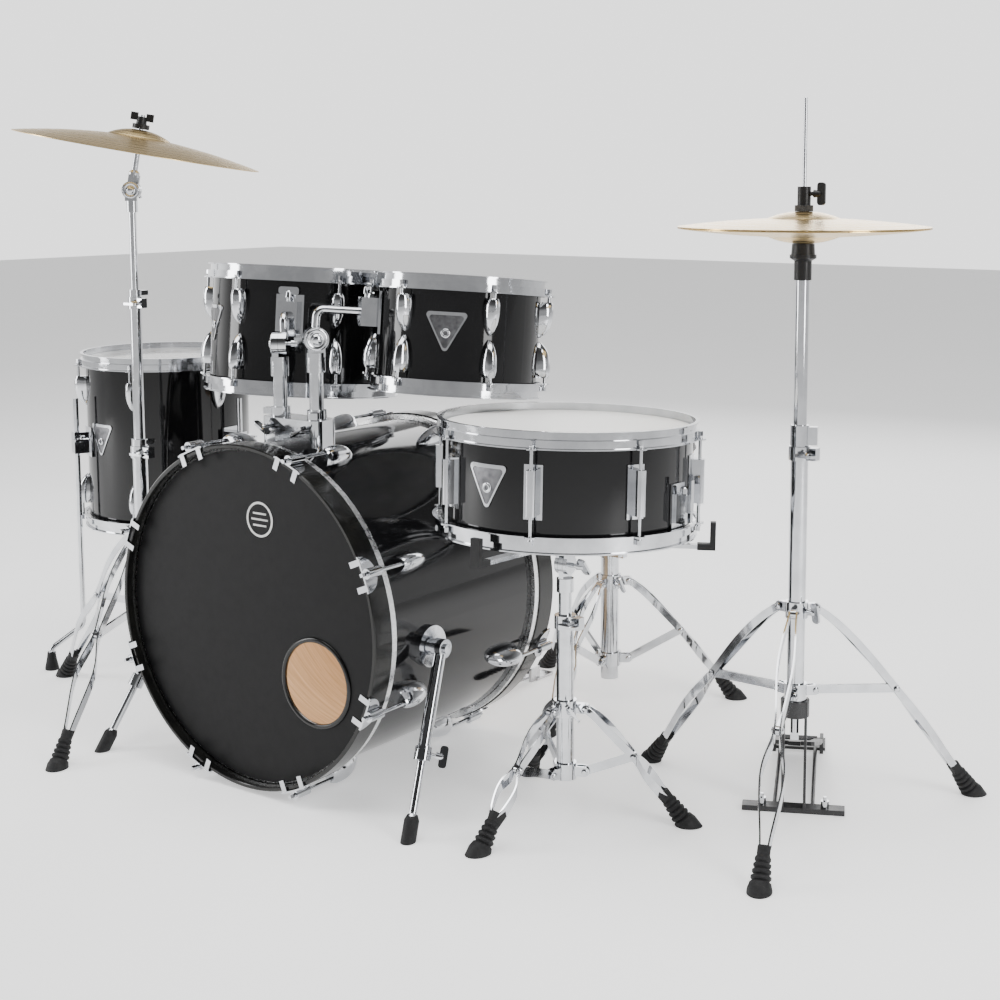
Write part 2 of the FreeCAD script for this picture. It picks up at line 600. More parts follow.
def tilter(name, side, inner, outward):
    """Post with the fixed half of its ratchet disc, and the arm with the moving half."""
    x, y = side * mm("post_spacing") / 2, mm("post_y")
    disc = kit_point(x, y, mm(name + "_disc_z"))
    flat = V(outward.x, outward.y, 0).normalize()
    across = Z.cross(flat).normalize() * (1 if side < 0 else -1)
    base_z = 560.0
    tube = pipe(name + "_post_tube", "post_radius", "post_radius - 1.6", 440, disc.z - 25, at(disc.x, disc.y))
    socket = pipe(name + "_post_socket", "post_radius + 3.6", 0, disc.z - 50, disc.z - 20, at(disc.x, disc.y))
    socket_bore = pipe(name + "_socket_bore", "post_radius + 0.02", 0, disc.z - 51, disc.z - 24.9,
                       at(disc.x, disc.y))
    fixed = cylinder(name + "_fixed_disc", 19, 10, facing(disc - across * 10.2, across))
    neck = block(name + "_disc_neck", 26, 10, 25, facing(disc - across * 5.2 - Z * 27, Z,
                                                         math.degrees(math.atan2(flat.y, flat.x))))
    pin = cylinder(name + "_disc_pin", 4, 22.4, facing(disc - across * 10.2, across))
    casting = cut(name + "_tilter_casting", fused(name + "_tilter_blank", [socket, neck, fixed, pin]), [socket_bore])
    lock = clamp_ring(name + "_memory_lock", "post_radius", 14, base_z + 0.3, -60 if side > 0 else 200)
    lock.Placement = at(disc.x, disc.y)
    handle = wing_bolts(name + "_tilter_wing", [facing(disc + across * 18.6, across, 60)])
    node(name + "_tom_post", [tube, casting, lock, handle], at())

    centre = disc + across * 7.0
    moving = cylinder(name + "_moving_disc", 19, 12, facing(disc + across * 0.2, across))
    near = inner + outward * ((centre - inner).dot(outward))
    start = V(centre.x, centre.y, disc.z) + Z * 6
    corner = V(near.x, near.y, near.z)
    bar = swept_rod(name + "_arm_bar", [start, corner, inner], mm("arm_radius"), 12.0)
    hole = cylinder(name + "_disc_hole", 4.06, 40, facing(disc - across * 9, across))
    arm = cut(name + "_arm_solid", fused(name + "_arm_blank", [moving, bar]), [hole])
    node(name + "_tom_arm", [arm], at())


for tom, prefix, side in (("left_tom", "left", -1), ("right_tom", "right", 1)):
    line = rack_tom(tom, side)
    tilter(prefix, side, *line)


def floor_tom():
    """Floor tom on three bent legs, each held by a bracket on the shell."""
    name = "floor_tom"
    r, leg_r = mm("floor_tom_radius"), 5.0
    angles = around(3, -115.0)
    body = block("leg_bracket_block", 32, 24, 40, at(16.2, 0, -20))
    plate = block("leg_bracket_plate", 3, 40, 56, at(1.6, 0, -28))
    bore = cylinder("leg_bracket_bore", leg_r + 0.06, 60, at(29 - 4.0, 0, -30))
    blank = cut("leg_bracket", fused("leg_bracket_blank", [body, plate]), [bore])
    bolts = wing_bolts("leg_bracket_bolt", [facing(V(24, 12.1 + 6, 8), Y)])
    bracket = group_of("leg_bracket_set", [blank, bolts])
    places = [at(*polar(r + 0.1, a, mm("floor_tom_depth") / 2), turn=a) for a in angles]
    place = tom_nodes(name, [copies("leg_brackets", bracket, places)], merge_rods=True)
    reach = r + 0.1 + 25
    drop = mm("floor_tom_z")
    route = [V(reach, 0, 515 - drop), V(reach, 0, 78 - drop), V(reach + 62, 0, 40 - drop), V(reach + 62, 0, 6 - drop)]
    bar = swept_rod("floor_leg_bar", route, leg_r, 16.0)
    tip = turned("floor_leg_tip", [(0, 0), (13, 0), (12.6, 5), (8.6, 24), (7.6, 34), (0, 34)],
                 at(reach + 62, 0, -drop))
    doc.recompute()
    rubber = feature("floor_leg_rubber", tip.Shape.cut(bar.Shape))
    leg = group_of("floor_leg", [bar, rubber])
    for label, angle in zip(("front", "side", "rear"), angles):
        node(f"floor_tom_{label}_leg", [copies(f"floor_{label}_leg", leg, [at(turn=angle)])], place)


floor_tom()


# ---- snare drum and its stand -----------------------------------------------------------------------------------

def snare_drum():
    """Snare drum with plate lugs, snare wires, a throw-off and its lever."""
    name = "snare"
    r, depth = mm("snare_radius"), mm("snare_depth")
    tilter = in_kit(mm("snare_x"), mm("snare_y"), mm("snare_tilter_z"), -mm("snare_tilt"), X)
    place = tilter.multiply(at(z=mm("snare_z") - mm("snare_tilter_z")))
    plate = block("snare_lug_plate", 2, 26, "snare_lug_height", at(1.1, 0, -mm("snare_lug_height") / 2))
    bridge = block("snare_lug_bridge", 18, 13, "snare_lug_height - 12", at(11, 0, 6 - mm("snare_lug_height") / 2))
    rounded = doc.addObject("Part::Fillet", "snare_lug_rounded")
    rounded.Base = bridge
    doc.recompute()
    upright = [i for i, e in enumerate(bridge.Shape.Edges) if abs(e.tangentAt(0).z) > 0.9 and e.CenterOfMass.x > 10]
    rounded.Edges = [(i + 1, 4.5, 4.5) for i in upright]
    hole = cylinder("snare_lug_hole", "rod_hole_radius", 90, at(mm("rod_offset") - 0.06, 0, -45))
    casting = cut("snare_lug", fused("snare_lug_blank", [plate, rounded]), [hole])
    angles = around(mm("snare_lugs"), mm("snare_lug_angle"))
    lugs = copies("snare_lug_set", casting, [at(*polar(r + 0.06, a, depth / 2), turn=a) for a in angles])
    rods = drum_rods(name, "snare_depth / 2 - hoop_flange - snare_lug_height / 2 + 20")
    node("snare_shell", [shell(name), badge(name, depth * 0.5, mm("snare_lug_angle") - 22.5)], place)
    node("snare_heads", [drum_heads(name)], place)
    node("snare_hoops", [drum_hoops(name)], place)
    node("snare_lugs", [lugs], place)
    node("snare_rods", [rods], place)

    strainer_angle = 2.0
    plate_t = block("throw_off_plate", 3, 34, 62, at(r + 1.7, 0, 12))
    body = block("throw_off_body", 17, 22, 40, at(r + 11.8, 0, 20))
    knob = turned("throw_off_knob", [(0, 0), (6.5, 0), (6.5, 8), (5, 10), (0, 10)], at(r + 13, 0, 60.2))
    slot = block("throw_off_slot", 17, 9, 44, at(r + 18, 0, 18))
    throw = cut("throw_off", fused("throw_off_blank", [plate_t, body]), [slot])
    butt = fused("butt_plate", [block("butt_base", 3, 30, 40, at(r + 1.7, 0, 14)),
                                block("butt_block", 12, 24, 18, at(r + 9, 0, 22))])
    hinge_pin = cylinder("throw_off_pin", 1.9, 9.2, facing(V(r + 14, -4.6, 36), Y))
    strands = []
    for i in range(10):
        offset = -27 + 6 * i
        strands.append(cylinder(f"snare_strand_{i}", 0.9, 240, facing(V(-120, offset, -2.6), X)))
    ends = [block(f"snare_wire_end_{i}", 22, 62, 1.2, at(x, 0, -3.2)) for i, x in enumerate((-131.1, 131.1))]
    turned_parts = fused("throw_off_side", [throw, hinge_pin])
    doc.recompute()
    around_z = at(turn=strainer_angle)
    node("snare_wires_and_strainer", [copies("strainer_set", group_of("strainer_parts", [
        turned_parts, knob] + strands + ends), [around_z]), copies("butt_set", butt, [at(turn=strainer_angle + 180)])], place)
    lever_hub = cylinder("lever_hub", 4.2, 7.6, facing(V(r + 14, -3.8, 36), Y))
    lever_arm = block("lever_arm", 5, 7.6, 44, at(r + 22.6, 0, 36))
    lever_link = block("lever_link", 10, 7.6, 6, at(r + 18.5, 0, 35))
    lever_bore = cylinder("lever_bore", 1.96, 20, facing(V(r + 14, -10, 36), Y))
    lever = cut("lever", fused("lever_blank", [lever_hub, lever_arm, lever_link]), [lever_bore])
    node("snare_strainer_lever", [copies("lever_set", lever, [around_z])], place)
    return place


def stand_tube(name, label, extra):
    """Lower tube of a stand with its tripod and the clamp at its top."""
    tube, inner = name + "_tube", name + "_inner_tube"
    inner = inner if inner in ALIASES else "crash_middle_radius"
    top = mm(name + "_tube_top")
    lower = pipe(name + "_lower_tube", tube, f"{inner} + 0.3", name + "_bottom", f"{top} - 20")
    sleeve = pipe(name + "_sleeve", f"{tube} + 3", f"{inner} + 0.3", f"{top} - 20", top)
    lug_piece = block(name + "_sleeve_lug", 16, 14, 18, at(mm(tube) + 8, 0, top - 19))
    bore = pipe(name + "_sleeve_bore", f"{inner} + 0.3", 0, f"{top} - 30", f"{top} + 5")
    clamp = cut(name + "_sleeve_clamp", fused(name + "_sleeve_blank", [lower, sleeve, lug_piece]), [bore])
    bolt = wing_bolts(name + "_sleeve_bolt", [facing(V(mm(tube) + 8, -7.1 - 6, top - 10), Y * -1)])
    return node(label, [clamp, bolt] + tripod(name, tube) + extra,
                in_kit(mm(name.replace("_stand", "") + "_x"), mm(name.replace("_stand", "") + "_y")))


def snare_stand(place):
    """Tripod, height tube with the tilter's fixed half, and the three-armed basket."""
    stand_tube("snare_stand", "snare_stand_base", [])
    at_stand = in_kit(mm("snare_x"), mm("snare_y"))
    tilt_z, r_in = mm("snare_tilter_z"), mm("snare_stand_inner_tube")
    tube = pipe("snare_upper_tube", "snare_stand_inner_tube", "snare_stand_inner_tube - 1.5", 190, tilt_z - 24)
    cap = turned("snare_tilter_cap", [(r_in - 1.4, tilt_z - 40), (r_in + 3, tilt_z - 40), (r_in + 3, tilt_z - 20),
                                      (0, tilt_z - 20), (0, tilt_z - 23.9), (r_in - 1.4, tilt_z - 23.9)])
    cap_bore = pipe("snare_cap_bore", r_in + 0.02, 0, tilt_z - 41, tilt_z - 23.9)
    ear = block("snare_tilter_ear", 8, 22, 24, at(0, 0, tilt_z - 22))
    disc = cylinder("snare_tilter_disc", 14, 8, facing(V(-4, 0, tilt_z), X))
    pin = cylinder("snare_tilter_pin", 3.5, 30, facing(V(-15, 0, tilt_z), X))
    fixed = cut("snare_tilter_fixed", fused("snare_tilter_blank", [cap, ear, disc, pin]), [cap_bore])
    wings = wing_bolts("snare_tilter_wing", [facing(V(21.2, 0, tilt_z), X, 40)])
    node("snare_stand_tube", [tube, fixed, wings], at_stand)

    hub_z = mm("basket_z") - mm("snare_z")
    tilt_local = tilt_z - mm("snare_z")
    fork = []
    for sign in (1, -1):
        fork.append(cylinder(f"basket_fork_disc_{sign}", 14, 6, facing(V(4.4 * sign, 0, tilt_local), X * sign)))
        fork.append(block(f"basket_fork_{sign}", 6, 20, hub_z - tilt_local, at(7.4 * sign, 0, tilt_local)))
    hub = cylinder("basket_hub", 18, 12, at(z=hub_z))
    fork_bore = cylinder("basket_bore", 3.56, 60, facing(V(-30, 0, tilt_local), X))
    centre = cut("basket_centre", fused("basket_centre_blank", [hub] + fork), [fork_bore])
    arm_z, reach = hub_z + 2, mm("basket_radius")
    arm = block("basket_arm", reach - 22, 14, 6, at((reach - 22) / 2 + 18.2, 0, arm_z))
    grip = [block("basket_grip_foot", 26, 15, 9, at(reach + 1, 0, arm_z - 1.5)),
            block("basket_grip_wall", 8, 15, 40, at(reach + 10, 0, arm_z - 1.5))]
    rubber = cut("basket_grip", fused("basket_grip_blank", grip),
                 [block("basket_grip_slot", 60, 14.04, 6.04, at(reach - 30, 0, arm_z - 0.02))])
    angles = around(3, -90.0)
    arms = copies("basket_arms", arm, [at(turn=a) for a in angles])
    tips = copies("basket_grips", rubber, [at(turn=a) for a in angles])
    node("snare_basket", [centre, arms, tips], place)


snare_stand(snare_drum())


# ---- bass drum --------------------------------------------------------------------------------------------------

def bass_ends():
    """Placements of a piece made for the front, at the front and turned over at the back."""
    flip = FreeCAD.Rotation(polar(1, mm("bass_lug_angle")), 180)
    return [at(), FreeCAD.Placement(V(0, 0, -mm("bass_length")), flip)]


def bass_claw():
    """Claw hook: a half-round plate on the hoop's outside, two tabs over its face and a tube for the rod."""
    hoop, reach = mm("bass_hoop_radius"), 272.0
    sleeve = Part.makeCylinder(hoop + 2.8, 60, V(0, 0, -30)).cut(Part.makeCylinder(hoop + 0.3, 62, V(0, 0, -31)))
    disc_space = Part.makeBox(80, 80, 40, V(hoop - 40, -40, -37))
    half_disc = Part.makeCylinder(27, 60, V(hoop - 30, 0, 3), X).common(disc_space)
    plate = sleeve.common(half_disc)
    for side in (1, -1):
        plate = plate.fuse(Part.makeBox(20, 9, 2.7, V(hoop - 17.4, side * 19 - 4.5, 0.3)))
    tube = Part.makeCylinder(7.5, 28, V(reach, 0, -25)).fuse(Part.makeBox(8, 9, 26, V(hoop + 1, -4.5, -23)))
    whole = plate.fuse(tube).cut(Part.makeCylinder(3.4, 60, V(reach, 0, -40)))
    whole = whole.cut(Part.makeCylinder(hoop + 0.3, 38.3, V(0, 0, -38)))
    return feature("bass_claw", whole.removeSplitter().Solids[0])


def bass_drum():
    """Shell, hoops, heads, claws with their rods, and lugs of the bass drum."""
    place = in_kit(0, 0, mm("bass_axis_height"), 90, X)
    outer, inner = "bass_radius", "bass_radius - ply"
    staves = turned("bass_staves", [
        (inner, "-bass_edge - 5"), (f"{outer} - 2.5", "-bass_edge"), (outer, "-bass_edge - 2.5"),
        (outer, "bass_edge + 2.5 - bass_length"), (f"{outer} - 2.5", "bass_edge - bass_length"),
        (inner, "bass_edge + 5 - bass_length")])
    post_holes = [cylinder(f"bass_post_hole_{side}", "post_radius + 0.6", 40,
                           facing(V(side * mm("post_spacing") / 2, 230, -mm("post_y")), Y)) for side in (1, -1)]
    node("bass_shell", [cut("bass_shell_drilled", staves, post_holes)], place)

    width, hoop_in, hoop_out = "-bass_hoop_width", "bass_hoop_inner", "bass_hoop_radius"
    hoop = turned("bass_hoop", [
        (hoop_in, f"{width} + 1"), (f"{hoop_in} + 1", width), (f"{hoop_out} - 1.5", width),
        (hoop_out, f"{width} + 1.5"), (hoop_out, -1.5), (f"{hoop_out} - 1.5", 0), (f"{hoop_in} + 1", 0),
        (hoop_in, -1)])
    node("bass_hoops", [copies("bass_hoop_pair", hoop, bass_ends())], place)

    head = turned("bass_head", [
        (0, "0.1 - bass_edge"), (f"{outer} - 1.5", "0.1 - bass_edge"), ("bass_band_inner", "-bass_edge - 2"),
        ("bass_band_inner", "-bass_edge - 22.3 - bass_band_width"),
        ("bass_band_outer", "-bass_edge - 22.3 - bass_band_width"), ("bass_band_outer", "-bass_edge - 22.3"),
        ("bass_band_inner + 1.8", "-bass_edge - 22.3"), ("bass_band_inner + 1.8", "-bass_edge - 1.5"),
        (f"{outer} - 0.8", "0.1 + film - bass_edge"), (0, "0.1 + film - bass_edge")])
    port = cylinder("bass_port", "port_radius", 12, at(mm("port_x"), mm("port_z"), -22))
    doc.recompute()
    front, back = bass_ends()
    batter = copies("bass_batter", head, [back])
    node("bass_front_head", [cut("bass_ported_head", head, [port])], place)
    node("bass_batter_head", [batter], place)

    angles = around(mm("bass_lugs"), mm("bass_lug_angle"))
    reach = mm("bass_radius") + mm("bass_rod_offset")
    claw = bass_claw()
    rod = tension_rod("bass_rod", 95, 3.0)
    spots = [end.multiply(at(turn=angle)) for end in bass_ends() for angle in angles]
    rods = copies("bass_rod_set", rod, [spot.multiply(at(reach, 0, 3.05)) for spot in spots])
    node("bass_claws_and_rods", [copies("bass_claw_set", claw, spots), rods], place)

    casting = teardrop_lug("bass_lug", 66.0, 30.0, 27.0, mm("bass_rod_offset") - 0.06, 3.4)
    lug_spots = [spot.multiply(at(mm("bass_radius") + 0.06, 0, -107.5)) for spot in spots]
    node("bass_lugs", [copies("bass_lug_set", casting, lug_spots)], place)


def bass_fittings():
    """Castings on the bass shell: a spur bracket on each side and the base of the tom mount on top."""
    shell_r = mm("bass_radius") + 0.06
    axis_z, y, z = mm("bass_axis_height"), mm("spur_pivot_y"), mm("spur_pivot_z")
    pieces = []
    for label, side in (("left", -1), ("right", 1)):
        disc = cylinder(label + "_spur_disc", 31, 22, facing(V(side * 240, y, z), X * side))
        shell_tool = cylinder(label + "_spur_shell_tool", shell_r, 500, facing(V(0, -40, axis_z), Y))
        seated = cut(label + "_spur_seat", disc, [shell_tool])
        boss = cylinder(label + "_spur_boss", 12, 7, facing(V(side * 261, y, z), X * side))
        pin = cylinder(label + "_spur_pin", 5, 26, facing(V(side * 262, y, z), X * side))
        cap = cylinder(label + "_spur_cap", 7, 4, facing(V(side * 286.3, y, z), X * side))
        pieces.append(fused(label + "_spur_bracket", [seated, boss, pin, cap]))
    base = block("mount_base", 118, 50, 50, at(0, mm("post_y"), 510))
    rounded = doc.addObject("Part::Fillet", "mount_base_rounded")
    rounded.Base = base
    doc.recompute()
    edges = list(enumerate(base.Shape.Edges))
    rounded.Edges = [(i + 1, 14, 14) for i, e in edges if abs(e.tangentAt(0).z) > 0.9]
    tools = [cylinder("mount_shell_tool", shell_r, 500, facing(V(0, -40, axis_z), Y))]
    bolts = []
    for side in (1, -1):
        x = side * mm("post_spacing") / 2
        tools.append(cylinder(f"mount_bore_{side}", "post_radius + 0.08", 80, at(x, mm("post_y"), 500)))
        bolts.append(facing(V(x, mm("post_y") - 25 - 6.05, 546), Y * -1, 30 * side))
    pieces.append(cut("mount_base_bored", rounded, tools))
    pieces.append(wing_bolts("mount_bolts", bolts))
    node("bass_shell_brackets", pieces)


def spur(label, side):
    """Folding spur: a splayed tube with its knuckle, and the rod that slides in it."""
    pivot = V(side * mm("spur_pivot_x"), mm("spur_pivot_y"), mm("spur_pivot_z"))
    tip = V(side * mm("spur_tip_x"), mm("spur_tip_y"), 0)
    lean = tip - pivot
    place = in_kit(*pivot)
    aim = facing(V(0, 0, 0), lean)
    knuckle = cylinder(label + "_spur_knuckle", 14, 17.7, facing(V(side * -8.7, 0, 0), X * side, 90))
    bore = cylinder(label + "_spur_pin_hole", 5.06, 40, facing(V(-20, 0, 0), X, 45))
    sleeve = turned(label + "_spur_sleeve", [
        (0, 10), ("spur_tube_radius", 10), ("spur_tube_radius", 146), ("spur_tube_radius + 3.5", 146),
        ("spur_tube_radius + 3.5", 166), ("spur_rod_radius + 0.08", 166), ("spur_rod_radius + 0.08", 40), (0, 40)], aim)
    tube = cut(label + "_spur_tube", fused(label + "_spur_blank", [knuckle, sleeve]), [bore])
    bolt = wing_bolts(label + "_spur_bolt", [aim.multiply(facing(V(side * 18.6, 0, 156), X * side))])
    node(label + "_spur", [tube, bolt], place)
    rod = cylinder(label + "_spur_inner_rod", "spur_rod_radius", lean.Length - 112,
                   aim.multiply(at(z=100)))
    rubber = turned(label + "_spur_rubber", [
        (0, lean.Length - 38), (7.5, lean.Length - 38), (11, lean.Length - 30), (11, lean.Length + 20),
        (0, lean.Length + 20)], aim)
    floor_tool = block(label + "_spur_floor", 200, 200, 100, at(tip.x - pivot.x, tip.y - pivot.y, -pivot.z - 100))
    node(label + "_spur_rod", [rod, cut(label + "_spur_tip", rubber, [floor_tool, rod])], place)


bass_drum()
bass_fittings()
spur("left", -1)
spur("right", 1)


# ---- foot pedals ------------------------------------------------------------------------------------------------

def footboard(name, toe_x, toe_z, heel_x, heel_z, tongue):
    """Ribbed board hinged at the heel, in a frame whose +X runs from the toe end to the heel."""
    slope = math.degrees(math.atan2(toe_z - heel_z, heel_x - toe_x))
    length = math.hypot(toe_z - heel_z, heel_x - toe_x)
    lie = FreeCAD.Placement(V(heel_x, 0, heel_z), FreeCAD.Rotation(Z, 180).multiply(FreeCAD.Rotation(Y, -slope)))
    half = [(5, 31), (16, 40), (length * 0.55, 38), (length - 6, 29), (length, 24)]
    if tongue:
        half += [(length, 9), (length + tongue, 9)]
    outline = half + [(x, -y) for x, y in reversed(half)]
    board = padded(name + "_board", "XY_Plane", outline, 6)
    ribs = [block(f"{name}_rib_{i}", 4, 52 - 2 * i, 2.4, at(40 + 24 * i, 0, 2.8)) for i in range(6)]
    knuckle = cylinder(name + "_heel_knuckle", 7, 62, facing(V(0, -31, 0), Y))
    bore = cylinder(name + "_heel_bore", 3.06, 80, facing(V(0, -40, 0), Y))
    return cut(name + "_treadle", fused(name + "_treadle_blank", [board, knuckle] + ribs), [bore]), lie


def heel_plate(name, heel_x, heel_z):
    """Floor plate behind the footboard with the ears and the pin of its hinge."""
    plate = block(name + "_heel_plate", 50, 88, 5, at(heel_x + 33, 0, 0))
    ears = [block(f"{name}_heel_ear_{i}", 26, 6, heel_z + 6, at(heel_x + 6, i * 38, 0)) for i in (1, -1)]
    pin = cylinder(name + "_heel_pin", 3, 80, facing(V(heel_x, -40, heel_z), Y))
    return fused(name + "_heel", [plate, pin] + ears)


def floor_bars(name, start, end, spread):
    """Two thin bars along the floor that tie a pedal's frame to its heel plate."""
    return [cylinder(f"{name}_floor_bar_{i}", 3, end - start, facing(V(start, i * spread, 4), X))
            for i in (1, -1)]


def bass_pedal():
    """Bass drum pedal: frame with its hoop clamp, footboard with its chain, and beater with its axle."""
    back = mm("bass_length")
    axle_x, axle_z = mm("pedal_axle_y"), mm("pedal_axle_z")
    place = in_kit(0, back, 0, 90)
    heel_x, heel_z = axle_x + 14 + mm("pedal_board_length"), mm("pedal_heel_z")
    posts = []
    for i in (1, -1):
        post = block(f"pedal_post_{i}", 22, 12, axle_z + 14, at(axle_x, i * 46, 0))
        posts.append(post)
    bed = block("pedal_bed", 42, 104, 5.4, at(axle_x - 4, 0, 0))
    bridge_low = block("pedal_bridge", 14, 84, 10, at(axle_x - 12, 0, 18))
    jaw_low = block("pedal_jaw_low", 40, 34, 5.2, at(axle_x - 34, 0, 0))
    jaw_top = block("pedal_jaw_top", 40, 30, 8, at(axle_x - 30, 0, 14))
    holes = cylinder("pedal_axle_hole", 5.06, 130, facing(V(axle_x, -65, axle_z), Y))
    frame = cut("pedal_frame_solid", fused("pedal_frame_blank", posts + [bed, bridge_low, jaw_low, jaw_top]), [holes])
    heel = heel_plate("pedal", heel_x, heel_z)
    bars = floor_bars("pedal", axle_x + 17.1, heel_x + 7.9, 24)
    bolt = wing_bolts("pedal_clamp_bolt", [facing(V(axle_x - 2, 0, 22 + 6.1), Z, 90)])
    spring_tube = pipe("pedal_spring", 8, 5.5, 70, 150, at(axle_x + 4, 66))
    lug_low = block("pedal_spring_foot", 16, 26, 8, at(axle_x + 4, 65, 61.9))
    node("bass_pedal_frame", [frame, heel, bolt, spring_tube, lug_low] + bars, place)

    board, lie = footboard("pedal", axle_x + 14, mm("pedal_toe_z"), heel_x, heel_z, 0)
    board.Placement = lie
    links = []
    for i in range(8):
        link_z = mm("pedal_toe_z") + 3 + i * 11
        links.append(block(f"pedal_link_{i}", 4.4, 10 if i % 2 else 7, 11, at(axle_x + 20.5, 0, link_z)))
    chain = fused("pedal_chain", links)
    node("bass_pedal_footboard", [board, chain], place)

    axle = cylinder("pedal_axle", 5, 118, facing(V(0, -59, 0), Y))
    cam = cylinder("pedal_cam", 16, 16, facing(V(0, -8, 0), Y))
    hub = cylinder("pedal_hub", 11, 30, facing(V(0, -15, 0), Y))
    beater_rod = cylinder("pedal_beater_rod", 3, mm("beater_length") + 14, at(z=2))
    drive = fused("pedal_beater_drive", [axle, cam, hub, beater_rod])
    head_outline = [(0, -20), (17, -20), (23, -16), (26, -8), (26, 10), (22, 17), (16, 20), (0, 20)]
    head = turned("pedal_beater_head", head_outline, facing(V(0, 0, mm("beater_length")), X))
    ready = cut("pedal_beater_felt", head, [beater_rod])
    lean = FreeCAD.Placement(V(axle_x, 0, axle_z), FreeCAD.Rotation(Y, mm("beater_lean")))
    node("bass_pedal_beater", [drive, ready], place.multiply(lean))


bass_pedal()


# ---- cymbals ----------------------------------------------------------------------------------------------------

def cymbal(name, radius, bow, bell, hole=6.0):
    """Bowed plate with a bell: its edge lies at Z 0 and its bell rises along +Z."""
    sheet_metal, bell_r = mm("cymbal_sheet"), mm("bell_radius")
    top = bow + bell

    def upper(drop):
        rise = V(0, 0, -drop)
        bell_mid = V(bell_r * 0.62, 0, bow + bell * 0.68)
        bow_mid = V(bell_r + (radius - bell_r) * 0.5, 0, bow * 0.63)
        points = [V(hole, 0, top), bell_mid, V(bell_r, 0, bow), bow_mid, V(radius, 0, 0)]
        points = [p + rise for p in points]
        return points, [Part.Arc(*points[:3]).toShape(), Part.Arc(*points[2:]).toShape()]

    (upper_points, upper_edges), (lower_points, lower_edges) = upper(0), upper(sheet_metal)
    ends = [Part.makeLine(upper_points[-1], lower_points[-1]), Part.makeLine(lower_points[0], upper_points[0])]
    face = Part.Face(Part.Wire(Part.__sortEdges__(upper_edges + ends + lower_edges)))
    return feature(name, face.revolve(V(0, 0, 0), Z, 360))


# ---- hi-hat -----------------------------------------------------------------------------------------------------

